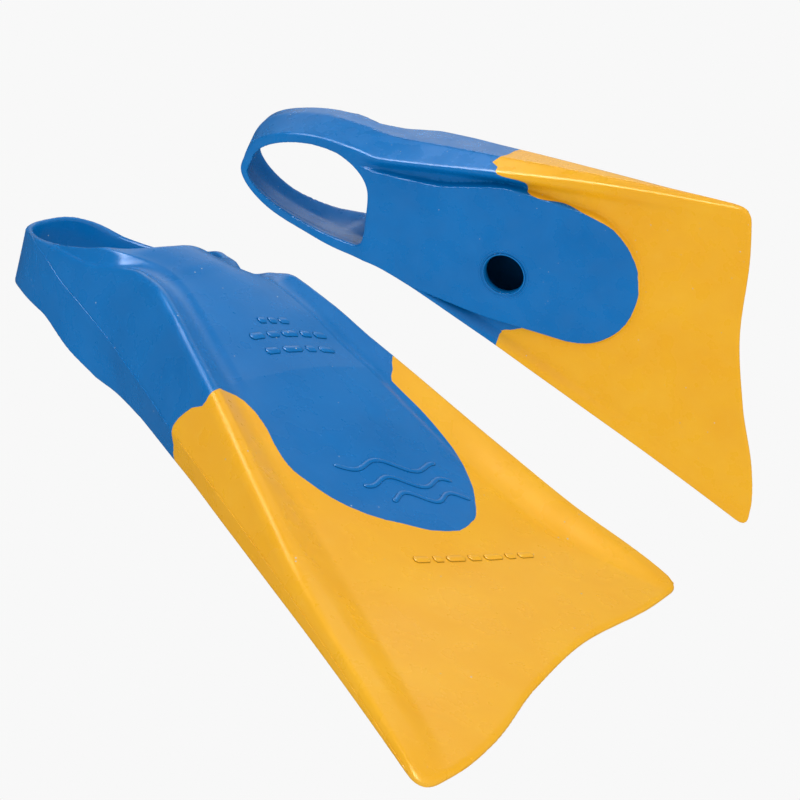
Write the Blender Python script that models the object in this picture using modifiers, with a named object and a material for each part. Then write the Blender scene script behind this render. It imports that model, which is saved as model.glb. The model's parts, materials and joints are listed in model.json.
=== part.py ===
"""A pair of open-heel swim fins, moulded in soft blue and firm yellow rubber.

The right fin lies on its sole. The left fin is its mirror image and stands behind it on its outer
side. Each fin is modelled in a frame of its own: x runs from the heel strap to the blade's edge, the
outer side of the foot is at -y, and the flat of the sole is z = 0. All sizes are in metres.
"""

import math

import bmesh
import bpy
from mathutils import Vector

# ---- driving dimensions ----
WALL_START = 0.111  # where the strap's curve meets the straight side walls
OUTER_TIP = 0.4127
INNER_TIP = 0.3587
OUTER_BACK_WIDTH = 0.0345  # half widths at WALL_START and at the blade's tips
OUTER_TIP_WIDTH = 0.1462
INNER_BACK_WIDTH = 0.0525
INNER_TIP_WIDTH = 0.0823
OUTER_BOW = -0.0049  # how far a side bows outwards halfway along
INNER_BOW = 0.0030

# heights along the fin as (x, z)
PARTING_HEIGHT = [(0.000, 0.0600), (0.060, 0.0384), (0.200, 0.0129), (0.412, 0.0012)]
CREST_HEIGHT = [(0.060, 0.0580), (0.110, 0.0598), (0.160, 0.0533),
                (0.200, 0.0420), (0.260, 0.0247), (0.320, 0.0115), (0.412, 0.0030)]
BOTTOM_HEIGHT = [(0.085, 0.0047), (0.120, 0.0), (0.412, 0.0)]
# the straps' edges: the right one has sagged to the floor, the left one hangs free
RIGHT_STRAP_TOP = [(0.000, 0.0415), (0.030, 0.0440), (0.060, 0.0495), (0.107, 0.0598)]
RIGHT_STRAP_BOTTOM = [(0.000, 0.0095), (0.030, 0.0130), (0.055, 0.0122), (0.085, 0.0047),
                      (0.120, 0.0)]
LEFT_STRAP_TOP = [(0.000, 0.0615), (0.030, 0.0535), (0.060, 0.0572), (0.107, 0.0598)]
LEFT_STRAP_BOTTOM = [(0.000, 0.0266), (0.030, 0.0172), (0.058, 0.0139), (0.089, 0.0044),
                     (0.120, 0.0)]
VALLEY_HEIGHT = [(0.100, 0.0570), (0.150, 0.0480), (0.200, 0.0340), (0.260, 0.0160),
                 (0.320, 0.0065), (0.412, 0.0028)]
VAULT_HEIGHT = [(0.100, 0.0680), (0.120, 0.0670), (0.150, 0.0570), (0.200, 0.0400),
                (0.260, 0.0240), (0.300, 0.0150), (0.340, 0.0080), (0.412, 0.0036)]
WEB_UNDERSIDE = [(0.262, 0.0040), (0.330, 0.0028), (0.412, 0.0002)]
EDGE_LINE = [(-0.1462, 0.4127), (-0.100, 0.4040), (-0.055, 0.3870), (0.000, 0.3725),
             (0.045, 0.3675), (0.0823, 0.3587)]  # the trailing edge as (y, x)

WALL_INSET = 0.0045  # from the parting line in to the crest, by the walls' draft
FOOT_INSET = 0.0055  # and in to the bottom of the wall
RAIL_WIDTH = 0.0125
FILLET_INSET = 0.0240  # from the parting line in to the foot of the rail's inner slope
STRAP_THICKNESS = 0.0045
STRAP_DRAFT = 0.0025  # from the parting line in to the strap's edges
REAR_DRAFT = 0.0005  # the same at the very back
DRAFT_END = 0.060  # where the strap's upper draft reaches its full size
SEAM_DROP = 0.001  # least distance from the strap's top edge down to the parting line
POCKET_WALL = 0.0050
SIDE_EXTRA = 0.0030  # the side walls are this much thicker
CORNER_EXTRA = 0.0040  # and the vault at its corners, halfway up and at its crown
HAUNCH_EXTRA = 0.0030
CROWN_EXTRA = 0.0020
HAUNCH_OUT = 0.5  # the haunch is this far out from the crown, and this far up
HAUNCH_UP = 0.75
CROWN_Y = 0.002
STEP = 0.0005  # small falls between one piece's top and the next one's
SOLE_THICKNESS = 0.0060
TOE_ROOM = 0.0030  # least height left above the footbed at the sides of the toes
GAP = 0.0003  # between neighbours in the mould

STRAP_END = 0.080
POCKET_START = 0.107
RAIL_COLOUR_START = 0.200  # blue rubber gives way to yellow on the rails
FLEX_START = 0.262
FLEX_END = 0.298
HEEL_OPENING_DEPTH = 0.008  # how far the sole's rear edge is hollowed
HEEL_LIP = 0.004  # how far its ends reach back
HEEL_POINTS = 6

STRAP_AXIS = Vector((0.094, 0.009, 0.034))
BLADE_AXIS = Vector((0.280, 0.0, 0.010))

DRAIN_CENTRE = Vector((0.2112, -0.0101, 0.0))
DRAIN_RADIUS = 0.0136
COLLAR_WIDTH = 0.0040
COLLAR_PROUD = 0.0010
CUTTER_DEPTH = 0.04
MERGE_DISTANCE = 0.0001
ROUND_SEGMENTS = 32
STRAP_STATIONS = 9  # sections from one end of a piece to the other
ROOT_STATIONS = 3
POCKET_STATIONS = 6
TOE_STATIONS = 5
FLEX_STATIONS = 3
BLADE_STATIONS = 7

RIGHT_FIN_PLACE = Vector((-0.160, 0.0, 0.0))
LEFT_FIN_PLACE = Vector((-0.3263, 0.2914, 0.0121))
LEFT_FIN_TURN = tuple(math.radians(a) for a in (-74.4, -2.2, 21.4))

BLUE = (0.007, 0.160, 0.456, 1.0)
YELLOW = (0.940, 0.500, 0.045, 1.0)
RUBBER_ROUGHNESS = 0.42


def along(table, x):
    """A smooth curve through the table's points that never overshoots them."""
    xs = [row[0] for row in table]
    zs = [row[1] for row in table]
    x = min(max(x, xs[0]), xs[-1])
    i = max(k for k in range(len(xs) - 1) if xs[k] <= x)
    slopes = [(b - a) / (q - p) for p, q, a, b in zip(xs, xs[1:], zs, zs[1:])]
    ends = []
    for k in range(len(xs)):
        before = slopes[max(k - 1, 0)]
        after = slopes[min(k, len(slopes) - 1)]
        ends.append(2 * before * after / (before + after) if before * after > 0 else 0.0)
    width = xs[i + 1] - xs[i]
    t = (x - xs[i]) / width
    rise = (zs[i + 1] - zs[i]) * t * t * (3 - 2 * t)
    return zs[i] + rise + width * t * (1 - t) * (ends[i] * (1 - t) - ends[i + 1] * t)


def half_width(side, x):
    """From the centre line to the parting line, on the outer (-1) or the inner (+1) side."""
    back, tip, end, bow = (
        (OUTER_BACK_WIDTH, OUTER_TIP_WIDTH, OUTER_TIP, OUTER_BOW)
        if side < 0
        else (INNER_BACK_WIDTH, INNER_TIP_WIDTH, INNER_TIP, INNER_BOW)
    )
    if x < WALL_START:
        return back * math.sqrt(1 - ((WALL_START - x) / WALL_START) ** 2)
    t = (x - WALL_START) / (end - WALL_START)
    return back + (tip - back) * t + bow * 4 * t * (1 - t)


# ---- scene, materials and mesh helpers ----
def rubber(name, colour):
    material = bpy.data.materials.new(name)
    material.use_nodes = True
    shader = material.node_tree.nodes["Principled BSDF"]
    shader.inputs["Base Color"].default_value = colour
    shader.inputs["Roughness"].default_value = RUBBER_ROUGHNESS
    shader.inputs["Metallic"].default_value = 0.0
    material.diffuse_color = colour
    return material


def add_empty(name, parent, place):
    empty = bpy.data.objects.new(name, None)
    empty.parent = parent
    empty.location = place
    PARTS.objects.link(empty)
    return empty


class Fin:
    """Where one fin's pieces go: its name, its frame, and its mirror sign."""

    def __init__(self, name, mirror, place, turn, strap_edges):
        self.name = name
        self.mirror = mirror
        self.strap_edges = strap_edges
        self.frame = add_empty(name + "_fin_frame", None, place)
        self.frame.rotation_euler = turn
        self.strap_axis = add_empty(name + "_strap_axis", self.frame, self.point(STRAP_AXIS))
        self.blade_axis = add_empty(name + "_blade_axis", self.frame, self.point(BLADE_AXIS))

    def point(self, p):
        return Vector((p[0], p[1] * self.mirror, p[2]))

    def add(self, piece, mesh_data, parent, material):
        """One piece from a bmesh in the fin's frame, with its origin at its parent's."""
        offset = Vector((0, 0, 0)) if parent == self.frame else parent.location
        for vert in mesh_data.verts:
            vert.co = self.point(vert.co) - offset
        bmesh.ops.remove_doubles(mesh_data, verts=mesh_data.verts, dist=1e-6)
        bmesh.ops.recalc_face_normals(mesh_data, faces=mesh_data.faces)
        mesh = bpy.data.meshes.new(self.name + "_" + piece)
        mesh_data.to_mesh(mesh)
        mesh_data.free()
        obj = bpy.data.objects.new(self.name + "_" + piece, mesh)
        obj.parent = parent
        mesh.materials.append(material)
        PARTS.objects.link(obj)
        return obj


def loft(rings):
    """A closed solid through rings of the same number of points."""
    solid = bmesh.new()
    layers = [[solid.verts.new(p) for p in ring] for ring in rings]
    count = len(rings[0])
    for low, high in zip(layers, layers[1:]):
        for k in range(count):
            n = (k + 1) % count
            solid.faces.new((low[k], low[n], high[n], high[k]))
    solid.faces.new(reversed(layers[0]))
    solid.faces.new(layers[-1])
    return solid


def stations(start, end, count):
    return [start + (end - start) * k / (count - 1) for k in range(count)]


# ---- heel strap ----
def strap_ring(fin, side, x):
    """The band's section at one place along the strap's curve."""
    width = half_width(side, x)
    back = OUTER_BACK_WIDTH if side < 0 else INNER_BACK_WIDTH
    lean = min(x, WALL_START) / WALL_START - 1
    normal = Vector((lean * back / WALL_START, side * width / back, 0)).normalized()
    edge = Vector((x, side * width, 0))
    top, low = (along(table, x) for table in fin.strap_edges)
    part = min(along(PARTING_HEIGHT, x), top - SEAM_DROP)
    top_in = REAR_DRAFT + STRAP_DRAFT * min(x / DRAFT_END, 1)
    points = [(0, part), (top_in, top), (top_in + STRAP_THICKNESS, top),
              (STRAP_DRAFT + STRAP_THICKNESS, low), (STRAP_DRAFT, low)]
    return [edge - normal * inset + Vector((0, 0, height)) for inset, height in points]


def heel_strap(fin):
    turns = stations(math.acos(1 - STRAP_END / WALL_START), 0.0, STRAP_STATIONS)
    xs = [WALL_START * (1 - math.cos(a)) for a in turns]
    outer = [strap_ring(fin, -1, x) for x in xs]
    inner = [strap_ring(fin, 1, x) for x in reversed(xs[:-1])]
    return loft(outer + inner)


def strap_root(fin, side):
    xs = stations(STRAP_END + GAP, POCKET_START - GAP, ROOT_STATIONS)
    return loft([strap_ring(fin, side, x) for x in xs])


# ---- pocket, toe box and sole ----
def arch_ring(x, inset, wall):
    """A section of the foot pocket: rails and vault outside, the foot's hollow inside."""
    crest, low, vault = (along(t, x) for t in (CREST_HEIGHT, BOTTOM_HEIGHT, VAULT_HEIGHT))
    valley, part = along(VALLEY_HEIGHT, x), along(PARTING_HEIGHT, x)
    outer, inner = [], []
    for side in (-1, 1):
        edge = half_width(side, x)
        if inset:
            skin = [(edge - inset, low), (edge - inset, crest - 2 * STEP)]
        else:
            skin = [(edge - FOOT_INSET, low), (edge, part), (edge - WALL_INSET, crest),
                    (edge - RAIL_WIDTH, crest - STEP)]
        foot = edge - FILLET_INSET
        haunch = valley + (vault - valley) * HAUNCH_UP
        skin += [(foot, valley), (foot * HAUNCH_OUT, haunch)]
        ceiling = max(valley - POCKET_WALL - CORNER_EXTRA, SOLE_THICKNESS + TOE_ROOM)
        hollow = [(edge - wall, low), (edge - wall, ceiling),
                  (foot * HAUNCH_OUT, haunch - POCKET_WALL - HAUNCH_EXTRA)]
        outer.append([Vector((x, side * y, z)) for y, z in skin])
        inner.append([Vector((x, side * y, z)) for y, z in hollow])
    crown = Vector((x, CROWN_Y, vault))
    under_crown = Vector((x, CROWN_Y, vault - POCKET_WALL - CROWN_EXTRA))
    return outer[0] + [crown] + outer[1][::-1] + inner[1] + [under_crown] + inner[0][::-1]


def pocket_upper():
    xs = stations(POCKET_START, RAIL_COLOUR_START - GAP, POCKET_STATIONS)
    return loft([arch_ring(x, 0, FOOT_INSET + POCKET_WALL + SIDE_EXTRA) for x in xs])


def toe_box():
    xs = stations(RAIL_COLOUR_START, FLEX_START - GAP, TOE_STATIONS)
    return loft([arch_ring(x, RAIL_WIDTH + GAP, RAIL_WIDTH + POCKET_WALL) for x in xs])


def sole_point(side, x):
    outside = RAIL_WIDTH if x >= RAIL_COLOUR_START else FOOT_INSET + SIDE_EXTRA
    inset = outside + POCKET_WALL + 2 * GAP
    return Vector((x, side * (half_width(side, x) - inset), 0))


def sole():
    """The footbed's plate. Its rear edge is hollowed for the heel."""
    xs = (stations(POCKET_START, RAIL_COLOUR_START - GAP, POCKET_STATIONS)
          + stations(RAIL_COLOUR_START, FLEX_START - GAP, TOE_STATIONS))
    outer = [sole_point(-1, x) for x in xs]
    inner = [sole_point(1, x) for x in xs]
    rear = []
    for k in range(1, HEEL_POINTS):
        t = k / HEEL_POINTS
        point = inner[0].lerp(outer[0], t)
        point.x += HEEL_OPENING_DEPTH * math.sin(math.pi * t) - HEEL_LIP
        rear.append(point)
    outline = outer + inner[::-1] + rear
    plate = bmesh.new()
    face = plate.faces.new([plate.verts.new(p) for p in outline])
    top = bmesh.ops.extrude_face_region(plate, geom=[face])["geom"]
    for vert in (g for g in top if isinstance(g, bmesh.types.BMVert)):
        vert.co.z += SOLE_THICKNESS
    return plate


def cut_drain(fin, plate):
    bpy.ops.mesh.primitive_cylinder_add(
        vertices=ROUND_SEGMENTS, radius=DRAIN_RADIUS + COLLAR_WIDTH - GAP, depth=CUTTER_DEPTH
    )
    cutter = bpy.context.object
    cutter.name = fin.name + "_drain_cutter"
    for held in list(cutter.users_collection):
        held.objects.unlink(cutter)
    CUTTERS.objects.link(cutter)
    cutter.parent = fin.frame
    cutter.location = fin.point(DRAIN_CENTRE)
    cutter.hide_render = True
    cutter.display_type = "WIRE"
    hole = plate.modifiers.new("drain", "BOOLEAN")
    hole.operation = "DIFFERENCE"
    hole.solver = "EXACT"
    hole.object = cutter


def drain_collar(fin):
    """The raised bead round the drain hole, turned from its profile."""
    out = DRAIN_RADIUS + COLLAR_WIDTH - 2 * GAP
    mid = DRAIN_RADIUS + COLLAR_WIDTH / 2
    profile = [(out, SOLE_THICKNESS), (out, 0.0), (mid, -COLLAR_PROUD), (DRAIN_RADIUS, 0.0),
               (DRAIN_RADIUS, SOLE_THICKNESS)]
    mesh = bpy.data.meshes.new(fin.name + "_drain_collar")
    edges = [(k, (k + 1) % len(profile)) for k in range(len(profile))]
    mesh.from_pydata([(r, 0, z) for r, z in profile], edges, [])
    obj = bpy.data.objects.new(fin.name + "_drain_collar", mesh)
    obj.parent = fin.frame
    obj.location = fin.point(DRAIN_CENTRE)
    mesh.materials.append(BLUE_RUBBER)
    PARTS.objects.link(obj)
    turn = obj.modifiers.new("turn", "SCREW")
    turn.steps = ROUND_SEGMENTS
    turn.render_steps = ROUND_SEGMENTS
    turn.use_merge_vertices = True
    turn.merge_threshold = MERGE_DISTANCE
    return obj


# ---- rails, tongue and blade ----
def rail_section(side, x):
    """A rail's section as (distance out from the centre line, height)."""
    edge = half_width(side, x)
    crest, part, low = (along(t, x) for t in (CREST_HEIGHT, PARTING_HEIGHT, BOTTOM_HEIGHT))
    return [(edge, part), (edge - WALL_INSET, crest), (edge - RAIL_WIDTH, crest - 2 * STEP),
            (edge - RAIL_WIDTH, low), (edge - FOOT_INSET, low)]


def rail(side, start, end, count):
    rings = []
    for x in stations(start, end, count):
        rings.append([Vector((x, side * y, z)) for y, z in rail_section(side, x)])
    return loft(rings)


def blade_rail(side):
    """The rail on the blade. Its last ring lies along the trailing edge."""
    tip = OUTER_TIP if side < 0 else INNER_TIP
    rings = []
    for t in stations(0, 1, BLADE_STATIONS):
        section = rail_section(side, FLEX_END + (tip - FLEX_END) * t)
        ring = []
        for y, z in section:
            end = along(EDGE_LINE, side * y)
            ring.append(Vector((FLEX_END + (end - FLEX_END) * t, side * y, z)))
        rings.append(ring)
    return loft(rings)


def web_section(xs_by_side, x_mid):
    """The plate between the rails as (y, z), top from the outer side, then back underneath."""
    top, low = [], []
    for side in (-1, 1):
        x = xs_by_side[side]
        edge = half_width(side, x)
        crest, valley = along(CREST_HEIGHT, x), along(VALLEY_HEIGHT, x)
        under = along(WEB_UNDERSIDE, x)
        near = edge - RAIL_WIDTH - GAP
        top.append([(side * near, crest - 3 * STEP), (side * (edge - FILLET_INSET), valley)])
        low.append([(side * near, under)])
    mid = (0.0, along(VAULT_HEIGHT, x_mid))
    return top[0] + [mid] + top[1][::-1] + low[1] + [(0.0, along(WEB_UNDERSIDE, x_mid))] + low[0]


def tongue():
    """The blue rubber in front of the toes, where the fin bends."""
    rings = []
    for x in stations(FLEX_START, FLEX_END - GAP, FLEX_STATIONS):
        rings.append([Vector((x, y, z)) for y, z in web_section({-1: x, 1: x}, x)])
    return loft(rings)


def blade_web():
    mid_end = along(EDGE_LINE, 0.0)
    rings = []
    for t in stations(0, 1, BLADE_STATIONS):
        ends = {-1: OUTER_TIP, 1: INNER_TIP}
        xs = {side: FLEX_END + (ends[side] - FLEX_END) * t for side in ends}
        section = web_section(xs, FLEX_END + (mid_end - FLEX_END) * t)
        ring = []
        for y, z in section:
            ring.append(Vector((FLEX_END + (along(EDGE_LINE, y) - FLEX_END) * t, y, z)))
        rings.append(ring)
    return loft(rings)


def build_fin(name, mirror, place, turn, strap_edges):
    fin = Fin(name, mirror, place, turn, strap_edges)
    fin.add("heel_strap", heel_strap(fin), fin.strap_axis, BLUE_RUBBER)
    fin.add("pocket_upper", pocket_upper(), fin.frame, BLUE_RUBBER)
    fin.add("toe_box", toe_box(), fin.frame, BLUE_RUBBER)
    cut_drain(fin, fin.add("sole", sole(), fin.frame, BLUE_RUBBER))
    drain_collar(fin)
    fin.add("tongue", tongue(), fin.frame, BLUE_RUBBER)
    fin.add("blade_web", blade_web(), fin.blade_axis, YELLOW_RUBBER)
    for side, word in ((-1, "outer"), (1, "inner")):
        fin.add(word + "_strap_root", strap_root(fin, side), fin.frame, BLUE_RUBBER)
        root = rail(side, RAIL_COLOUR_START, FLEX_START - GAP, TOE_STATIONS)
        fin.add(word + "_rail_root", root, fin.frame, YELLOW_RUBBER)
        bend = rail(side, FLEX_START, FLEX_END - GAP, FLEX_STATIONS)
        fin.add(word + "_rail_flex", bend, fin.frame, YELLOW_RUBBER)
        fin.add(word + "_rail", blade_rail(side), fin.blade_axis, YELLOW_RUBBER)


for old in list(bpy.data.objects):
    bpy.data.objects.remove(old, do_unlink=True)
PARTS = bpy.data.collections.new("swim_fins")
CUTTERS = bpy.data.collections.new("cutters")
bpy.context.scene.collection.children.link(PARTS)
bpy.context.scene.collection.children.link(CUTTERS)
CUTTERS.hide_render = True
BLUE_RUBBER = rubber("blue_rubber", BLUE)
YELLOW_RUBBER = rubber("yellow_rubber", YELLOW)
build_fin("right", 1, RIGHT_FIN_PLACE, (0.0, 0.0, 0.0), (RIGHT_STRAP_TOP, RIGHT_STRAP_BOTTOM))
build_fin("left", -1, LEFT_FIN_PLACE, LEFT_FIN_TURN, (LEFT_STRAP_TOP, LEFT_STRAP_BOTTOM))
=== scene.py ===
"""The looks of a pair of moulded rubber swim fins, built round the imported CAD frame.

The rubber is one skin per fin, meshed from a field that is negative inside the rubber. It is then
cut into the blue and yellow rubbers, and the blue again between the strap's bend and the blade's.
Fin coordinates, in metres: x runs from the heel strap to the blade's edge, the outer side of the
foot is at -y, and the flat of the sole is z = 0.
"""

import json
import math

import bmesh
import bpy
import numpy as np
from mathutils import Matrix, Vector


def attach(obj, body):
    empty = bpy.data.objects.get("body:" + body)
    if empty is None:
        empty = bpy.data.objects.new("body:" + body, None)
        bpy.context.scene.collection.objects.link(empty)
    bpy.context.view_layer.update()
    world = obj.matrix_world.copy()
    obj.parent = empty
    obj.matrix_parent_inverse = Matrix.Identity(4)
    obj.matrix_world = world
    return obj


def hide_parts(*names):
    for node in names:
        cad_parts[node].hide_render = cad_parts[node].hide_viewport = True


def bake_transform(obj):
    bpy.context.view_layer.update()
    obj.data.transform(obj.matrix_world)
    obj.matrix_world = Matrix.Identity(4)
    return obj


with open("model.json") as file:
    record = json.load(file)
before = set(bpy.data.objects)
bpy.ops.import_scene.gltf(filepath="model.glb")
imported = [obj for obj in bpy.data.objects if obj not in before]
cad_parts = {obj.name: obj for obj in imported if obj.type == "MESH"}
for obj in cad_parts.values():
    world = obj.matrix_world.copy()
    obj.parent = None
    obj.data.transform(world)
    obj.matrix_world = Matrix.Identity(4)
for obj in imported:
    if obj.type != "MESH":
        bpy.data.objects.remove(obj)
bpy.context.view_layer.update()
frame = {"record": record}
RECORD = frame["record"]

# ---- driving dimensions of the visible shape ----
WALL_START = 0.111  # where the strap's curve meets the straight side walls
# each wall: half width there and at the blade's tip, the tip's x, its bow, the strap's squareness
OUTER = (0.0376, 0.1472, 0.4127, -0.0056, 1.95)
INNER = (0.0530, 0.0818, 0.3587, 0.0030, 2.45)

# heights along the fin as (x, z)
PARTING = [(0.000, 0.0500), (0.030, 0.0450), (0.056, 0.0412), (0.072, 0.0364), (0.088, 0.0326),
           (0.103, 0.0286), (0.128, 0.0236), (0.157, 0.0200), (0.200, 0.0145), (0.412, 0.0012)]
CREST = [(0.081, 0.0500), (0.0925, 0.0518), (0.106, 0.0556), (0.124, 0.0602), (0.143, 0.0604),
         (0.160, 0.0566), (0.178, 0.0508), (0.210, 0.0416), (0.260, 0.0268), (0.320, 0.0128),
         (0.412, 0.0034)]
SHOULDER = [(0.104, 0.0606), (0.112, 0.0604), (0.122, 0.0596), (0.136, 0.0574), (0.150, 0.0542),
            (0.165, 0.0500), (0.187, 0.0434), (0.209, 0.0374), (0.246, 0.0272), (0.292, 0.0152),
            (0.348, 0.0062), (0.412, 0.0034)]
CROWN = [(0.080, 0.0570), (0.095, 0.0640), (0.106, 0.0662), (0.115, 0.0658), (0.125, 0.0648),
         (0.136, 0.0620), (0.150, 0.0578), (0.165, 0.0532), (0.200, 0.0425), (0.246, 0.0292),
         (0.292, 0.0165), (0.348, 0.0066), (0.412, 0.0034)]
# how far the underside rises off the floor ahead of the sole's flat
UNDERSIDE = [(0.090, 0.0), (0.118, 0.0050), (0.160, 0.0062), (0.260, 0.0055),
             (0.330, 0.0028), (0.412, 0.0002)]
# the straps' edges: the right one has sagged to the floor, the left one hangs free
STRAP_CREST = {
    "right": [(0.000, 0.0415), (0.030, 0.0440), (0.060, 0.0485)],
    "left": [(0.000, 0.0635), (0.030, 0.0580), (0.060, 0.0565)],
}
STRAP_RIM = {
    "right": [(0.000, 0.0415), (0.030, 0.0440), (0.060, 0.0497), (0.080, 0.0550), (0.093, 0.0594)],
    "left": [(0.000, 0.0635), (0.030, 0.0585), (0.060, 0.0605), (0.080, 0.0615), (0.093, 0.0612)],
}
# how much higher the inner side is than the outer side, on the strap and ahead of it
INNER_RISE = {
    "right": [(0.000, 0.0062), (0.015, 0.0030), (0.030, -0.0026), (0.055, -0.0056)],
    "left": [(0.000, 0.0), (0.070, -0.0005)],
}
RISE_AHEAD = [(0.085, -0.0032), (0.100, -0.0052), (0.113, -0.0052), (0.124, -0.0026),
              (0.137, 0.0014), (0.160, 0.0016), (0.185, 0.0003), (0.230, 0.0)]
# the straps lean forward or back by this much of their height, above this height
STRAP_TILT = {"right": (0.200, 0.010), "left": (-0.14, 0.018)}
TILT_END = 0.075  # the x where that lean fades out
STRAP_BOTTOM = {
    "right": [(0.000, 0.0100), (0.030, 0.0138), (0.055, 0.0136), (0.085, 0.0044), (0.104, 0.0)],
    "left": [(0.000, 0.0228), (0.030, 0.0158), (0.058, 0.0130), (0.089, 0.0050), (0.110, 0.0)],
}
# distances in from the parting line, as (x, distance)
LIP_IN = [(0.060, 0.0020), (0.090, 0.0032), (0.105, 0.0040), (0.140, 0.0075), (0.412, 0.0080)]
SHOULDER_IN = [(0.060, 0.0040), (0.075, 0.0050), (0.090, 0.0072), (0.104, 0.0110), (0.112, 0.0170),
               (0.122, 0.0215), (0.140, 0.0240), (0.300, 0.0270), (0.412, 0.0170)]
GROOVE = [(0.085, 0.0), (0.100, 0.0008), (0.125, 0.0022), (0.190, 0.0023), (0.260, 0.0014),
          (0.330, 0.0)]  # how deep the shallow valley between the two is
UPPER_DRAFT = [(0.0, 0.05), (0.060, 0.08), (0.110, 0.12), (0.412, 0.14)]
LOWER_DRAFT = [(0.0, 0.08), (0.060, 0.12), (0.150, 0.36), (0.200, 0.36), (0.250, 0.25),
               (0.300, 0.18), (0.412, 0.20)]
STRAP_LEAN = 0.8  # the strap's inner side leans out more than its outer side
STRETCH_START, TIP_X = 0.2, 0.412  # between these, the tables are stretched to the slanted edge
EDGE_HEIGHT = 0.0034  # of the blade's top at its trailing edge
INNER_CREST_DROP = 0.0003
EDGE_LINE = [(-0.1472, 0.4096), (-0.125, 0.4078), (-0.100, 0.4022), (-0.055, 0.3858),
             (0.000, 0.3716), (0.045, 0.3672), (0.0818, 0.3604)]  # trailing edge as (y, x)

# the rubber's thickness
STRAP_WALL = 0.0045
STRAP_BEAD = {"right": 0.0012, "left": 0.0024}  # how much thicker its lower edge is
SIDE_WALL = 0.0090
POCKET_WALL = 0.0050
SOLE_FLOOR = 0.0060
# the foot's hollow and the openings into it
TOE_END, TOE_CURVE = 0.240, 8.0  # the furthest x, and how fast it curves back from the middle
MIDDLE = 0.004
HEEL_TOP = 0.030
HEEL_RIM = (0.1080, 0.030, MIDDLE, 0.0365, 0.048)  # furthest x, depth, middle, half widths
ANKLE_RIM = (0.1070, 10.5, 0.009)  # furthest x, how fast it curves back, and its middle
ANKLE_HEIGHT = 0.062
DRAIN = Vector((0.2112, -0.0101, 0.0))
DRAIN_RADIUS = 0.0136
DRAIN_TOP = 0.012

# how wide the rounding of each corner is
PARTING_ROUND = 0.0006
UNDER_ROUND = 0.0025
CREST_ROUND = 0.0026
CREST_ROUND_AHEAD = 0.0032  # added ahead of the ankle, until the blade thins
RIM_ROUND = 0.0030

# the sole's flat plateau: half widths and middles as (x, y), and its round front
SOLE_WIDTH = [(0.080, 0.0350), (0.150, 0.0386), (0.210, 0.0475), (0.258, 0.0465)]
SOLE_MIDDLE = [(0.100, -0.0010), (0.150, -0.0010), (0.210, 0.0025), (0.302, 0.0)]
TOE_CENTRE, TOE_TIP = 0.258, 0.302

# the grid that the field is meshed on
CELL = 0.0013
GRID_LOW, GRID_HIGH = (-0.018, -0.153, -0.006), (0.420, 0.091, 0.074)


def along(table, x):
    """A smooth curve through the table's points that never overshoots them."""
    xs, ys = (np.array(c) for c in zip(*table))
    width = np.diff(xs)
    slope = np.diff(ys) / width
    ends = np.zeros(len(xs))
    both = slope[1:] * slope[:-1]
    total = np.where(both > 0, slope[1:] + slope[:-1], 1.0)
    ends[1:-1] = np.where(both > 0, 2 * both / total, 0.0)
    ends[0], ends[-1] = slope[0], slope[-1]
    x = np.clip(x, xs[0], xs[-1])
    i = np.clip(np.searchsorted(xs, x, side="right") - 1, 0, len(width) - 1)
    t = (x - xs[i]) / width[i]
    rise = (ys[i + 1] - ys[i]) * t * t * (3 - 2 * t)
    return ys[i] + rise + width[i] * t * (1 - t) * (ends[i] * (1 - t) - ends[i + 1] * t)


def smax(a, b, k):
    """The larger of two fields, with a rounded corner about k wide."""
    h = np.maximum(k - np.abs(a - b), 0.0)
    return np.maximum(a, b) + h * h / (4 * k)


def smin(a, b, k):
    return -smax(-a, -b, k)


def step(t):
    t = np.clip(t, 0.0, 1.0)
    return t * t * (3 - 2 * t)


def oval(dx, dy, length, width, power=2.0):
    """About the distance inside an ellipse, or a squarer oval, positive inside."""
    u, v = np.abs(dx) / length, np.maximum(np.abs(dy) / width, 1e-4)
    e = (u**power + v**power) ** (1 / power)
    steep = e ** (1 - power) * np.hypot(u ** (power - 1) / length, v ** (power - 1) / width)
    return np.minimum((1 - e) / steep, width)


def wall_line(wall, x):
    """A wall's half width, constant beside the strap and then spreading to the blade's tip."""
    back, tip, end, bow, _ = wall
    t = (x - WALL_START) / (end - WALL_START)
    bent = np.where((t > 0) & (t < 1), bow * 4 * t * (1 - t), 0.0)
    return back + (tip - back) * smax(t, 0.0 * t, 0.05) + bent


def wall_inset(wall, x, reach):
    back, tip, end, _, power = wall
    tilt = (tip - back) / (end - WALL_START) * step((x - WALL_START + 0.02) / 0.05)
    behind = np.maximum(WALL_START - x, 0.0)
    return oval(behind, reach, WALL_START, wall_line(wall, x), power) / np.sqrt(1 + tilt * tilt)


def plan_inset(x, y):
    """The distance in from the parting line's outline, seen from above."""
    return np.where(y < 0, wall_inset(OUTER, x, -y), wall_inset(INNER, x, y))


def sole_inset(x, y):
    """The distance in from the sole plateau's outline."""
    off = y - along(SOLE_MIDDLE, x)
    sides = along(SOLE_WIDTH, x) - np.abs(off)
    toe = oval(np.maximum(x - TOE_CENTRE, 0.0), off, TOE_TIP - TOE_CENTRE, SOLE_WIDTH[-1][1])
    return np.where(x > TOE_CENTRE, toe, sides)


def edge_x(y):
    return along(EDGE_LINE, y)


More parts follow.
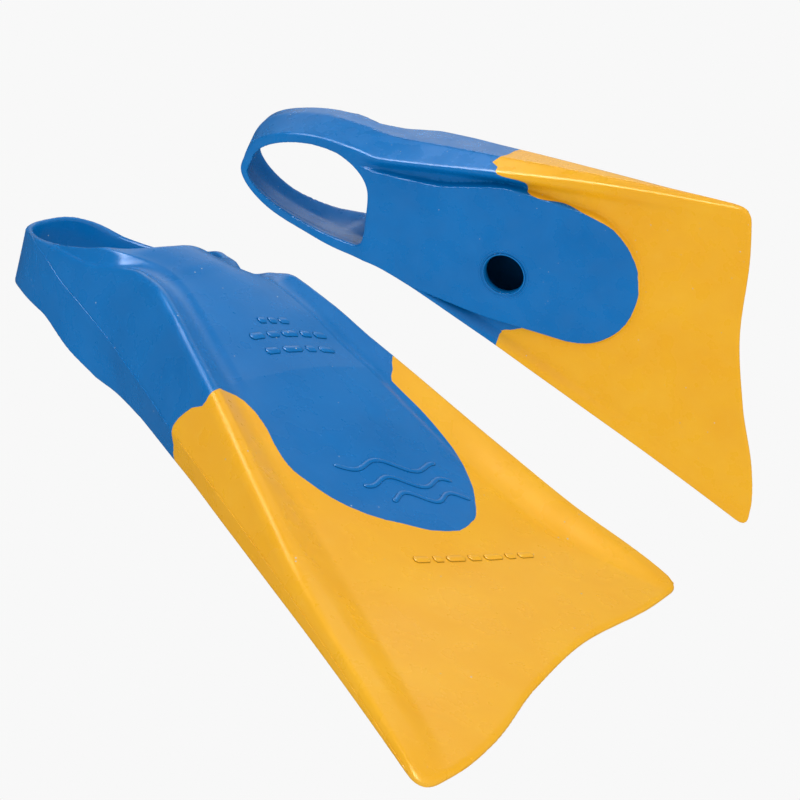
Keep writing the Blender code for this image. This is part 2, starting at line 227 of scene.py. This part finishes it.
def surfaces(side, x, y):
    """Top and bottom heights and the plan inset at places on the fin."""
    inset = plan_inset(x, y)
    to_edge = (edge_x(y) - x) * 0.97
    stretch = (TIP_X - STRETCH_START) / (edge_x(y) - STRETCH_START)
    u = np.where(x < STRETCH_START, x, STRETCH_START + (x - STRETCH_START) * stretch)
    crest = along(STRAP_CREST[side] + CREST, x)
    crest = smin(crest, EDGE_HEIGHT + np.maximum(to_edge, 0) * 0.25, 0.003)
    shoulder, crown = along(STRAP_RIM[side] + SHOULDER, u), along(CROWN, u)
    lip, foot = along(LIP_IN, u), along(SHOULDER_IN, u)
    outer, inner = wall_line(OUTER, x) + y, wall_line(INNER, x) - y
    eta = np.clip((outer - inner) / np.maximum(outer + inner - 2 * foot, 0.01), -1, 1)
    crest = crest - INNER_CREST_DROP * step(y / 0.02) * step((x - 0.19) / 0.04)
    across = (inset - lip) / (foot - lip)
    top = crest + (shoulder - crest) * step(across)
    top -= along(GROOVE, u) * smax(4 * across * (1 - across), 0 * across, 0.35)
    top += (crown - shoulder) * (1 - eta * eta) ** 1.5 * step((x - 0.078) / 0.015)
    inner_side = step((y + 0.01 - 0.012 * step((x - 0.07) / 0.02)) / 0.03)
    top += along(INNER_RISE[side] + RISE_AHEAD, x) * inner_side
    low = along(STRAP_BOTTOM[side], x)
    off_rail = step((inset - 0.006) / 0.009)
    off_sole = step(-sole_inset(x, y) / 0.0032)
    bottom = low + along(UNDERSIDE, u) * np.minimum(off_rail, off_sole)
    return top, bottom, smin(inset, to_edge, 0.009)


def ankle_rim(x, y, z):
    """Negative behind the front rim of the ankle's opening, on top."""
    furthest, curve, middle = ANKLE_RIM
    undercut = 0.35 * np.maximum(ANKLE_HEIGHT - z, 0) * step((0.01 - y) / 0.02)
    return x - furthest + curve * (y - middle) ** 2 + undercut


def heel_rim(x, y):
    """Negative behind the front rim of the heel's opening, in the underside."""
    furthest, depth, middle, inner, outer = HEEL_RIM
    return x - furthest + depth * ((y - middle) / np.where(y > middle, inner, outer)) ** 4


def fin_field(side, x, y, z):
    """Negative inside the rubber, and close to the distance from its surface."""
    top, bottom, inset = surfaces(side, x, y)
    rise = z - along(PARTING, x)
    lean = 1 + STRAP_LEAN * step((0.100 - x) / 0.04) * step(y / 0.01)
    fall = -rise * along(LOWER_DRAFT, x) * lean
    tilt, level = STRAP_TILT[side]
    strap = step((TILT_END - x) / TILT_END)
    inset = np.where(x < TILT_END, plan_inset(x - tilt * (z - level) * strap, y), inset)
    wall = smax(rise * along(UPPER_DRAFT, x), fall, PARTING_ROUND) - inset
    at_strap = step((0.100 - x) / 0.045)
    ahead = step((x - 0.10) / 0.03) * step((0.35 - x) / 0.05)
    soft = CREST_ROUND - 0.0004 * at_strap + CREST_ROUND_AHEAD * ahead
    skin = smax(smax(wall, z - top, soft), bottom - z, UNDER_ROUND)
    low = np.clip((0.034 - z) / 0.016, -0.5, 1)
    thin = STRAP_WALL + STRAP_BEAD[side] * low
    sides = wall + thin + (SIDE_WALL - thin) * (1 - at_strap)
    floor = bottom + SOLE_FLOOR - z
    toes = (x - TOE_END) + TOE_CURVE * (y - MIDDLE) ** 2
    foot = smax(smax(sides, z - top + POCKET_WALL, 0.012), smax(floor, toes, 0.010), 0.008)
    ankle = smax(sides, smax(ankle_rim(x, y, z), floor, 0.004), 0.006)
    heel = smax(sides, smax(heel_rim(x, y), z - HEEL_TOP, 0.004), 0.006)
    hollow = smin(foot, smin(ankle, heel, 0.003), 0.004)
    drain = smax(np.hypot(x - DRAIN.x, y - DRAIN.y) - DRAIN_RADIUS, z - DRAIN_TOP, 0.001)
    hollow = smin(hollow, drain, 0.001)
    return smax(skin, -hollow, RIM_ROUND - 0.0012 * at_strap)


# ---- meshing the field ----
CORNERS = [(i, j, k) for i in (0, 1) for j in (0, 1) for k in (0, 1)]


def gradient(side, p, h=2e-5):
    here = fin_field(side, *p.T)
    slopes = [(fin_field(side, *(p + h * axis).T) - here) / h for axis in np.eye(3)]
    return here, np.stack(slopes, 1)


def surface_net(side, low, high, cell):
    """A closed quad mesh of the field's surface: one vertex a cell, pulled onto the surface."""
    axes = [np.arange(a, b, cell) for a, b in zip(low, high)]
    grid = fin_field(side, axes[0][:, None, None], axes[1][None, :, None], axes[2][None, None, :])
    inside = grid < 0
    cells = tuple(n - 1 for n in grid.shape)
    total = np.zeros(cells + (3,))
    count = np.zeros(cells)
    for a in CORNERS:
        for axis in range(3):
            if a[axis]:
                continue
            b = tuple(v + (n == axis) for n, v in enumerate(a))
            pick_a = tuple(slice(v, v + n) for v, n in zip(a, cells))
            pick_b = tuple(slice(v, v + n) for v, n in zip(b, cells))
            va, vb = grid[pick_a], grid[pick_b]
            cross = (va < 0) != (vb < 0)
            t = np.where(cross, va / np.where(cross, va - vb, 1.0), 0.0)
            for n in range(3):
                total[..., n] += cross * (a[n] + (t if n == axis else 0.0))
            count += cross
    used = count > 0
    number = np.full(cells, -1)
    number[used] = np.arange(used.sum())
    where = np.argwhere(used)
    points = np.array(low) + cell * (where + total[used] / count[used][:, None])
    quads = []
    for axis in range(3):
        others = [n for n in range(3) if n != axis]
        first = [slice(None)] * 3
        second = [slice(None)] * 3
        first[axis], second[axis] = slice(0, -1), slice(1, None)
        va, vb = inside[tuple(first)], inside[tuple(second)]
        at = np.argwhere(va != vb)
        at = at[(at[:, others[0]] > 0) & (at[:, others[1]] > 0)]
        outward = va[tuple(at.T)]
        ring = []
        for d0, d1 in ((-1, -1), (0, -1), (0, 0), (-1, 0)):
            q = at.copy()
            q[:, others[0]] += d0
            q[:, others[1]] += d1
            ring.append(number[tuple(q.T)])
        quad = np.stack(ring, 1)
        flip = outward if axis != 1 else ~outward
        quad[~flip] = quad[~flip][:, ::-1]
        quads.append(quad)
    quads = np.concatenate(quads)
    return settle(side, points, quads, cell), quads


def settle(side, points, quads, cell):
    """Evens out the vertices along the surface and pulls them onto it."""
    a = np.concatenate([quads[:, k] for k in range(4)])
    b = np.concatenate([quads[:, (k + 1) % 4] for k in range(4)])
    near = np.bincount(a, minlength=len(points)) + np.bincount(b, minlength=len(points))
    for turn in range(5):
        value, slope = gradient(side, points)
        size = np.maximum((slope**2).sum(1), 0.2)
        move = -(value / size)[:, None] * slope
        move *= np.minimum(1, 0.6 * cell / np.maximum(np.linalg.norm(move, axis=1), 1e-12))[:, None]
        points = points + move
        if turn < 3:
            mean = np.stack([
                np.bincount(a, points[b, n], len(points)) + np.bincount(b, points[a, n], len(points))
                for n in range(3)
            ], 1) / near[:, None]
            shift = mean - points
            normal = slope / np.sqrt(size)[:, None]
            shift -= (shift * normal).sum(1)[:, None] * normal
            points = points + 0.5 * shift
    return points


def fin_mesh(side):
    points, quads = surface_net(side, GRID_LOW, GRID_HIGH, CELL)
    mesh = bpy.data.meshes.new("fin")
    mesh.from_pydata(points, [], quads.tolist())
    mesh.update()
    return mesh


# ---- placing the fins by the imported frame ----
MOUNT_X = 0.160  # both sole mounts sit here on the fin


def fin_matrix(side):
    """From fin coordinates to the row frame, read from the sole's mount and the strap's joint."""
    mount = next(m for m in RECORD["mounts"] if m["name"].startswith(side))
    joint = next(j for j in RECORD["behaviour"]["joints"] if j["name"] == side + "_strap_swing")
    up = -Vector(mount["axis"])
    across = Vector(joint["axis"])
    forward = across.cross(up)
    turn = Matrix((forward, across, up)).transposed()
    mirror = Matrix.Diagonal((1, 1 if side == "right" else -1, 1))
    place = Vector(mount["pos_m"]) - turn @ Vector((MOUNT_X, 0, 0))
    return Matrix.Translation(place) @ (turn @ mirror).to_4x4()


# ---- where the blue rubber ends ----
# seen from above, from the outer side round the tongue to the inner side
TONGUE = [(0.2084, -0.0594), (0.2069, -0.0523), (0.2072, -0.0471), (0.2105, -0.0450),
          (0.2172, -0.0447), (0.2255, -0.0461), (0.2395, -0.0508), (0.2493, -0.0525),
          (0.2586, -0.0495), (0.2652, -0.0469), (0.2725, -0.0421), (0.2802, -0.0350),
          (0.2872, -0.0238), (0.2950, -0.0075), (0.2967, 0.0030), (0.2928, 0.0181),
          (0.2888, 0.0241), (0.2820, 0.0310), (0.2705, 0.0405), (0.2506, 0.0489),
          (0.2305, 0.0500), (0.2172, 0.0491), (0.2085, 0.0486), (0.2060, 0.0520)]
OUTER_EDGE = [(0.012, 0.1915), (0.0157, 0.1904), (0.019, 0.1911), (0.025, 0.1954),
              (0.0307, 0.2010), (0.0357, 0.2090), (0.045, 0.2083)]  # up the outer wall, (z, x)
INNER_EDGE = [(0.004, 0.1909), (0.011, 0.1885), (0.0135, 0.1910), (0.023, 0.1947),
              (0.035, 0.1960), (0.041, 0.2010)]
OUTER_UNDER = {"right": 0.1900, "left": 0.2141}  # where it crosses the bottom edges
INNER_UNDER = 0.1940
WOBBLE = 0.00025  # how uneven the edge between the two rubbers is
UNDERSIDE_TOP = 0.007  # below this height, the edge follows the sole's plateau
LEVELS = (-0.030, 0.0055, 0.0095, 0.0140, 0.0180, 0.0220, 0.0260, 0.0300, 0.0340, 0.0370, 0.0900)


def spline(points, count):
    """Evenly spaced points on a smooth line through the given ones."""
    points = np.array(points)
    t = np.concatenate([[0], np.cumsum(np.linalg.norm(np.diff(points, axis=0), axis=1))])
    at = np.linspace(0, t[-1], count)
    return np.stack([along(list(zip(t, points[:, n])), at) for n in range(points.shape[1])], 1)


def sole_edge(count):
    """Points round the toe of the sole plateau, from the outer side to the inner side."""
    edge = []
    for turn in np.linspace(-math.pi / 2, math.pi / 2, count):
        x = TOE_CENTRE + (TOE_TIP + 0.0006 - TOE_CENTRE) * math.cos(turn)
        y = (SOLE_WIDTH[-1][1] + 0.0006) * math.sin(turn) + float(along(SOLE_MIDDLE, np.array(x)))
        edge.append((x, y))
    return edge


def blue_outline(side, z):
    """The blue rubber's edge at one height, as a closed outline seen from above."""
    if z < UNDERSIDE_TOP:
        low = OUTER_UNDER[side]
        bend = [(low, -0.0570), (low + 0.0035, -0.0535), (0.2240, -0.0515), (0.2370, -0.0462)]
        far = [(0.2400, 0.0508), (0.2267, 0.0503), (0.2166, 0.0520), (0.2160, 0.0560),
               (0.2110, 0.0584), (0.2000, 0.0587), (INNER_UNDER, 0.0600)]
        curve = spline([(low, -0.0900)] + bend + sole_edge(9) + far + [(INNER_UNDER, 0.0900)], 90)
    else:
        outer, inner = (float(along(t, np.array(z))) for t in (OUTER_EDGE, INNER_EDGE))
        ends = [(outer, -0.0900), (outer, -0.0600)], [(inner, 0.0605), (inner, 0.0900)]
        curve = spline(ends[0] + TONGUE + ends[1], 90)
    along_edge = np.arange(len(curve))
    curve[:, 0] += WOBBLE * np.sin(along_edge * 2.1) * np.sin(along_edge * 0.77)
    rim = [(curve[0][0], -0.2), *curve, (curve[-1][0], 0.2), (-0.05, 0.2), (-0.05, -0.2)]
    return [Vector((x, y, z)) for x, y in rim]


SLIVER = 0.0002  # edges shorter than this are dissolved after a cut


def loft(rings):
    """A closed solid through rings of the same number of points."""
    solid = bmesh.new()
    layers = [[solid.verts.new(p) for p in ring] for ring in rings]
    count = len(rings[0])
    for low, high in zip(layers, layers[1:]):
        for k in range(count):
            n = (k + 1) % count
            solid.faces.new((low[k], low[n], high[n], high[k]))
    solid.faces.new(reversed(layers[0]))
    solid.faces.new(layers[-1])
    bmesh.ops.recalc_face_normals(solid, faces=solid.faces)
    return solid


def new_object(name, mesh):
    obj = bpy.data.objects.new(name, mesh)
    bpy.context.scene.collection.objects.link(obj)
    return obj


def from_bmesh(name, solid):
    mesh = bpy.data.meshes.new(name)
    solid.to_mesh(mesh)
    solid.free()
    return mesh


def combine(name, first, second, operation):
    """A new mesh from two closed ones."""
    obj = new_object(name, first)
    other = new_object("cutter", second)
    cut = obj.modifiers.new("cut", "BOOLEAN")
    cut.operation = operation
    cut.solver = "MANIFOLD"
    cut.object = other
    done = bpy.data.meshes.new_from_object(
        obj.evaluated_get(bpy.context.evaluated_depsgraph_get())
    )
    bpy.data.objects.remove(obj)
    bpy.data.objects.remove(other)
    whole = bmesh.new()
    whole.from_mesh(done)
    bmesh.ops.dissolve_degenerate(whole, dist=SLIVER, edges=whole.edges)
    return from_bmesh(name, whole)


# ---- rubber ----
DUST = (0.55, 0.62, 0.66, 1)
IN_SHADE = (0.0, 0.004, 0.010, 1)  # painted shade colour, for deep in the openings


def rubber(name, colour, deep, pale, roughness):
    """Moulded rubber: cloudy colour, a fine grain, soft dents, lighter edges, dust and painted shade.
    """
    m = bpy.data.materials.new(name)
    m.use_nodes = True
    tree = m.node_tree
    shader = tree.nodes["Principled BSDF"]

    def node(kind, **inputs):
        made = tree.nodes.new("ShaderNode" + kind)
        for key, value in inputs.items():
            made.inputs[key.replace("_", " ")].default_value = value
        return made

    def link(source, socket):
        tree.links.new(source, socket)

    def noise(scale, detail, rough=0.5):
        made = node("TexNoise", Scale=scale, Detail=detail, Roughness=rough)
        link(spot.outputs["Object"], made.inputs["Vector"])
        return made.outputs["Fac"]

    def ramp(source, low, high, bottom=0.0, top=1.0):
        made = tree.nodes.new("ShaderNodeMapRange")
        for key, value in zip(("From Min", "From Max", "To Min", "To Max"),
                              (low, high, bottom, top)):
            made.inputs[key].default_value = value
        link(source, made.inputs["Value"])
        return made.outputs["Result"]

    def blend(factor, first, second):
        made = tree.nodes.new("ShaderNodeMix")
        made.data_type = "RGBA"
        ins, out = [i for i in made.inputs if i.type == "RGBA"], made.outputs[2]
        link(factor, made.inputs[0])
        for socket, value in zip(ins, (first, second)):
            if isinstance(value, tuple):
                socket.default_value = value
            else:
                link(value, socket)
        return out

    spot = tree.nodes.new("ShaderNodeTexCoord")
    shape = tree.nodes.new("ShaderNodeNewGeometry")
    clouds = ramp(noise(22, 4, 0.6), 0.32, 0.70)
    tint = blend(clouds, colour, deep)
    mottle = ramp(noise(160, 5, 0.65), 0.58, 0.78, 0.0, 0.22)
    tint = blend(mottle, tint, pale)
    # lighter towards the pale colour on sharp convex edges, by the mesh's pointiness
    edge_lightening = ramp(shape.outputs["Pointiness"], 0.53, 0.62, 0.0, 0.45)
    tint = blend(edge_lightening, tint, pale)
    dots = node("TexVoronoi", Scale=210.0)
    link(spot.outputs["Object"], dots.inputs["Vector"])
    near = ramp(dots.outputs["Distance"], 0.05, 0.09, 1.0, 0.0)
    rare = ramp(noise(55, 1), 0.58, 0.66)
    dust = tree.nodes.new("ShaderNodeMath")
    dust.operation = "MULTIPLY"
    link(near, dust.inputs[0])
    link(rare, dust.inputs[1])
    tint = blend(dust.outputs[0], tint, DUST)
    # painted shade: where the ambient occlusion finds a hollow, the colour goes towards near black
    # and the sheen dims
    hollow = node("AmbientOcclusion", Distance=0.07)
    hollow.samples = 12
    shade = ramp(hollow.outputs["AO"], 0.05, 0.80, 0.04, 1.0)
    tint = blend(shade, IN_SHADE, tint)
    link(tint, shader.inputs["Base Color"])
    link(ramp(hollow.outputs["AO"], 0.45, 0.85, 0.02, 0.42), shader.inputs["Specular IOR Level"])
    link(ramp(noise(70, 4), 0.3, 0.7, roughness - 0.05, roughness + 0.08), shader.inputs["Roughness"])

    dents = node("Bump", Strength=0.10, Distance=0.0012)
    link(noise(38, 1), dents.inputs["Height"])
    grain = node("Bump", Strength=0.05, Distance=0.0003)
    link(noise(600, 3), grain.inputs["Height"])
    link(dents.outputs["Normal"], grain.inputs["Normal"])
    link(grain.outputs["Normal"], shader.inputs["Normal"])
    return m


BLUE = rubber("blue_rubber_look", (0.0, 0.180, 0.545, 1), (0.0, 0.155, 0.480, 1),
              (0.010, 0.225, 0.600, 1), 0.27)
YELLOW = rubber("yellow_rubber_look", (0.965, 0.490, 0.014, 1), (0.930, 0.440, 0.010, 1),
                (0.970, 0.580, 0.080, 1), 0.28)


# ---- putting the fins together ----
SPLIT_X = 0.150  # across the pocket, between the strap's bend and the blade's


def read_vectors(items, name):
    values = np.zeros(len(items) * 3)
    items.foreach_get(name, values)
    return values.reshape(-1, 3)


def read_numbers(items, name):
    values = np.zeros(len(items), dtype=int)
    items.foreach_get(name, values)
    return values


def smooth_normals(side, mesh):
    """Shades the outside by the field, so that neighbouring pieces meet without a seam."""
    slope = gradient(side, read_vectors(mesh.vertices, "co"))[1]
    slope /= np.maximum(np.linalg.norm(slope, axis=1), 1e-9)[:, None]
    mesh.shade_smooth()
    faces = read_vectors(mesh.polygons, "normal")
    by_field = slope[read_numbers(mesh.loops, "vertex_index")]
    flat = np.repeat(faces, read_numbers(mesh.polygons, "loop_total"), axis=0)
    follows = (by_field * flat).sum(1) > 0.6
    mesh.normals_split_custom_set(np.where(follows[:, None], by_field, flat).tolist())


def place(name, side, mesh, look):
    """Moves a piece made in fin coordinates to where the fin is."""
    if side == "left":
        mesh.transform(Matrix.Diagonal((1, -1, 1, 1)))
        mesh.flip_normals()
        mesh.transform(fin_matrix(side) @ Matrix.Diagonal((1, -1, 1, 1)))
    else:
        mesh.transform(fin_matrix(side))
    mesh.materials.clear()
    mesh.materials.append(look)
    obj = new_object(side + "_" + name, mesh)
    return obj


def bend(obj, side, part):
    """Bakes a piece's placement into its mesh."""
    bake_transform(obj)


def box_mesh(x0, x1):
    """A box between two places along the fin, larger than the fin all round."""
    ring = [[(x, y, z) for y, z in ((-0.3, -0.1), (0.3, -0.1), (0.3, 0.2), (-0.3, 0.2))]
            for x in (x0, x1)]
    return from_bmesh("box", loft(ring))


def build_fin(side):
    skin = fin_mesh(side)
    cutter = from_bmesh("edge", loft([blue_outline(side, z) for z in LEVELS]))
    blue = combine("blue", skin, cutter, "INTERSECT")
    yellow = combine("yellow", skin, cutter, "DIFFERENCE")
    rear = combine("rear", blue, box_mesh(-0.1, SPLIT_X), "INTERSECT")
    front = combine("front", blue, box_mesh(-0.1, SPLIT_X), "DIFFERENCE")
    for mesh in (yellow, rear, front):
        smooth_normals(side, mesh)
    pieces = {
        "strap_and_instep": (rear, BLUE, "strap", ("heel_strap", "outer_strap_root",
                                                   "inner_strap_root", "pocket_upper")),
        "toes_and_tongue": (front, BLUE, "blade", ("toe_box", "sole", "tongue", "drain_collar")),
        "blade": (yellow, YELLOW, "blade", ("outer_rail_root", "inner_rail_root",
                                            "outer_rail_flex", "inner_rail_flex",
                                            "outer_rail", "inner_rail", "blade_web")),
    }
    for name, (mesh, look, part, nodes) in pieces.items():
        obj = place(name, side, mesh, look)
        bend(obj, side, part)
        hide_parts(*[side + "_" + node for node in nodes])


# ---- raised details ----
def on_surface(side, points, turns=4):
    """Pulls points onto the rubber's surface and gives the surface's direction there."""
    points = np.array(points, dtype=float)
    for _ in range(turns):
        value, slope = gradient(side, points)
        size = (slope**2).sum(1)
        points = points - (value / np.maximum(size, 0.2))[:, None] * slope
    return points, slope / np.linalg.norm(slope, axis=1)[:, None]


def bead(side, guide, width, height, bury=0.0004, arcs=8):
    """A closed, rounded bead lying on the rubber along the guide points, tapered at both ends."""
    points, out = on_surface(side, guide)
    ahead = np.gradient(points, axis=0)
    across = np.cross(out, ahead)
    across /= np.linalg.norm(across, axis=1)[:, None]
    rings = []
    last = len(points) - 1
    for k, p in enumerate(points):
        taper = min(1.0, 0.5 + min(k, last - k) * 0.5)
        ring = []
        for turn in range(arcs):
            a = 2 * math.pi * turn / arcs
            lift = (height + bury) / 2 * math.sin(a) * taper + (height - bury) / 2
            ring.append(p + across[k] * (width / 2 * math.cos(a) * taper) + out[k] * lift)
        rings.append(ring)
    return loft(rings)


def join(solids):
    """One bmesh that holds all the solids."""
    whole = bmesh.new()
    for solid in solids:
        part = bpy.data.meshes.new("part")
        solid.to_mesh(part)
        solid.free()
        whole.from_mesh(part)
        bpy.data.meshes.remove(part)
    return whole


def line(ax, ay, bx, by, count=9):
    """Evenly spaced points from one place to another, seen from above."""
    return [(ax + (bx - ax) * t, ay + (by - ay) * t) for t in np.linspace(0, 1, count)]


def on_top(side, points):
    """Lifts points seen from above to the fin's top."""
    tops = surfaces(side, *np.array(points).T)[0]
    return [(x, y, z) for (x, y), z in zip(points, tops)]


def seam(side, low, high):
    """The parting line's bead on both side walls."""
    beads = []
    for wall, sign in ((OUTER, -1), (INNER, 1)):
        xs = np.arange(low, high, 0.0035)
        ys = sign * (wall_line(wall, xs) * np.sqrt(np.clip(
            1 - (np.maximum(WALL_START - xs, 0) / WALL_START) ** 2, 0, 1)))
        beads.append(bead(side, list(zip(xs, ys, along(PARTING, xs))), 0.0006, 0.00028))
    return join(beads)


def ring_bead(radius, width, height, turns=64, arcs=10):
    """A closed, rounded ring round the drain hole."""
    solid = bmesh.new()
    rings = []
    for a in np.linspace(0, 2 * math.pi, turns, endpoint=False):
        ring = []
        for k in range(arcs):
            b = 2 * math.pi * k / arcs
            r = radius + width / 2 * math.cos(b)
            ring.append(solid.verts.new((DRAIN.x + r * math.cos(a), DRAIN.y + r * math.sin(a),
                                         0.0001 - height * math.sin(b))))
        rings.append(ring)
    for k in range(len(rings)):
        one, two = rings[k], rings[(k + 1) % len(rings)]
        for n in range(arcs):
            m = (n + 1) % arcs
            solid.faces.new((one[n], one[m], two[m], two[n]))
    bmesh.ops.recalc_face_normals(solid, faces=solid.faces)
    return solid


def row_of_bars(side, start, end, widths, tall):
    """Plain raised bars of the given relative widths in a row, with gaps of one unit and a half."""
    unit = 1 / (sum(widths) + 1.5 * (len(widths) - 1))
    bars, at = [], 0.0
    for wide in widths:
        span = [at * unit, (at + wide) * unit]
        ends = [tuple(a + (b - a) * t for a, b in zip(start, end)) for t in span]
        bars.append(bead(side, on_top(side, line(*ends[0], *ends[1])), tall, 0.0007))
        at += wide + 1.5
    return bars


def add_detail(name, side, solid, look, part):
    """Adds a raised detail; with a part its placement is baked, with none it rides on the pocket."""
    mesh = from_bmesh(name, solid)
    mesh.shade_smooth()
    obj = place(name, side, mesh, look)
    if part:
        bend(obj, side, part)
    else:
        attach(obj, side + "_pocket")


def add_details(side):
    add_detail("seam_rear", side, seam(side, 0.012, 0.188), BLUE, "strap")
    add_detail("seam_front", side, seam(side, 0.1965, 0.402), YELLOW, "blade")
    collar = join([ring_bead(DRAIN_RADIUS + 0.0011, 0.0012, 0.0006),
                   ring_bead(DRAIN_RADIUS + 0.0034, 0.0012, 0.0005)])
    add_detail("drain_bead", side, collar, BLUE, None)
    rows = []
    for start, end, widths in (((0.168, -0.002), (0.170, 0.015), (3, 3, 4)),
                               ((0.177, -0.014), (0.179, 0.032), (5, 4, 6, 4, 5)),
                               ((0.187, -0.013), (0.189, 0.028), (4, 6, 3, 5))):
        rows += row_of_bars(side, start, end, widths, 0.0044)
    add_detail("instep_bars", side, join(rows), BLUE, None)
    waves = []
    for k, (reach, low) in enumerate(((0.058, -0.0300), (0.052, -0.0240), (0.044, -0.0160))):
        ts = np.linspace(0, 1, 46)
        wave = [(0.252 + 0.0105 * k + 0.17 * reach * t + 0.0028 * math.sin(11 * t + k),
                 low + reach * t) for t in ts]
        waves.append(bead(side, on_top(side, wave), 0.0024, 0.0006))
    add_detail("wave_ornament", side, join(waves), BLUE, "blade")
    bars = row_of_bars(side, (0.307, -0.036), (0.319, 0.027), (5, 3, 6, 4, 6, 3, 5), 0.0040)
    add_detail("blade_bars", side, join(bars), YELLOW, "blade")


for side in ("right", "left"):
    build_fin(side)
    add_details(side)

# ---- stage, light and camera ----
CAMERA_PLACE = Vector((0.6413 - MOUNT_X, -0.5137, 0.2644))
CAMERA_RIGHT = Vector((0.7215, 0.6474, 0.2458))
CAMERA_DOWN = Vector((0.3906, -0.0873, -0.9164))
CAMERA_LENS = 74.214  # mm, on a sensor of the width below
CAMERA_SENSOR = 36
PAPER = 0.939  # the background's brightness
FLOOR_Z = -0.8  # well below both fins
BASE_GLOW = 0.03
# the glows that the rubber's sheen mirrors: towards, the cosine where it starts, strength
GLOWS = [((-0.36, -0.38, 0.85), 0.90, 15.0),
         ((-0.66, 0.56, 0.52), 0.90, 0.8),
         ((-0.68, 0.72, 0.35), 0.70, 0.16)]


def camera():
    data = bpy.data.cameras.new("camera")
    data.sensor_width = CAMERA_SENSOR
    data.lens = CAMERA_LENS
    data.clip_start = 0.01
    obj = bpy.data.objects.new("camera", data)
    back = -CAMERA_RIGHT.cross(CAMERA_DOWN)
    turn = Matrix((CAMERA_RIGHT, -CAMERA_DOWN, back)).transposed()
    obj.matrix_world = Matrix.Translation(CAMERA_PLACE) @ turn.to_4x4()
    bpy.context.scene.collection.objects.link(obj)
    bpy.context.scene.camera = obj


def strength_by_ray(tree, strength_in, seen, lit, mirrored):
    """Drives a strength by what looks at it: the camera, the rubber's diffuse, or its sheen."""
    rays = tree.nodes.new("ShaderNodeLightPath")
    to_gloss = tree.nodes.new("ShaderNodeMix")
    to_gloss.inputs["A"].default_value = lit
    to_gloss.inputs["B"].default_value = mirrored
    to_camera = tree.nodes.new("ShaderNodeMix")
    to_camera.inputs["B"].default_value = seen
    tree.links.new(rays.outputs["Is Glossy Ray"], to_gloss.inputs["Factor"])
    tree.links.new(rays.outputs["Is Camera Ray"], to_camera.inputs["Factor"])
    tree.links.new(to_gloss.outputs["Result"], to_camera.inputs["A"])
    tree.links.new(to_camera.outputs["Result"], strength_in)


def softbox(tree, back):
    """Adds soft glows that only the rubber's sheen sees."""
    def maths(kind, first, second):
        made = tree.nodes.new("ShaderNodeMath")
        made.operation = kind
        for socket, value in zip(made.inputs, (first, second)):
            if isinstance(value, float):
                socket.default_value = value
            else:
                tree.links.new(value, socket)
        return made.outputs[0]

    spot = tree.nodes.new("ShaderNodeTexCoord")
    total = BASE_GLOW
    for aim, start, power in GLOWS:
        dot = tree.nodes.new("ShaderNodeVectorMath")
        dot.operation = "DOT_PRODUCT"
        dot.inputs[1].default_value = Vector(aim).normalized()
        tree.links.new(spot.outputs["Generated"], dot.inputs[0])
        spread = tree.nodes.new("ShaderNodeMapRange")
        spread.interpolation_type = "SMOOTHSTEP"
        spread.inputs["From Min"].default_value = start
        spread.inputs["To Max"].default_value = power
        tree.links.new(dot.outputs["Value"], spread.inputs["Value"])
        total = maths("ADD", spread.outputs["Result"], total)
    rays = tree.nodes.new("ShaderNodeLightPath")
    sheen = maths("MULTIPLY", total, rays.outputs["Is Glossy Ray"])
    strength = back.inputs["Strength"].links[0].from_socket
    tree.links.new(maths("ADD", strength, sheen), back.inputs["Strength"])


def stage():
    bpy.ops.mesh.primitive_plane_add(size=200, location=(0, 0, FLOOR_Z))
    floor = bpy.context.object
    floor.name = "floor"
    look = bpy.data.materials.new("floor_paper")
    look.use_nodes = True
    tree = look.node_tree
    tree.nodes.clear()
    out = tree.nodes.new("ShaderNodeOutputMaterial")
    glow = tree.nodes.new("ShaderNodeEmission")
    strength_by_ray(tree, glow.inputs["Strength"], PAPER, 0.95, 0.05)
    tree.links.new(glow.outputs["Emission"], out.inputs["Surface"])
    floor.data.materials.append(look)
    world = bpy.data.worlds.new("studio")
    world.use_nodes = True
    back = world.node_tree.nodes["Background"]
    back.inputs["Color"].default_value = (1, 1, 1, 1)
    strength_by_ray(world.node_tree, back.inputs["Strength"], PAPER, 0.88, 0.0)
    softbox(world.node_tree, back)
    bpy.context.scene.world = world


def add_light(name, place, aim, size, power):
    data = bpy.data.lights.new(name, "AREA")
    data.size = size
    data.energy = power
    obj = bpy.data.objects.new(name, data)
    obj.location = place
    obj.rotation_euler = (Vector(aim) - Vector(place)).to_track_quat("-Z", "Y").to_euler()
    bpy.context.scene.collection.objects.link(obj)


camera()
stage()
add_light("overhead", (0.0, 0.2, 1.5), (0, 0.1, 0), 1.2, 2)
add_light("front", (1.2, -0.6, 0.9), (0, 0.1, 0), 1.4, 3)
bpy.context.scene.view_settings.view_transform = "Standard"
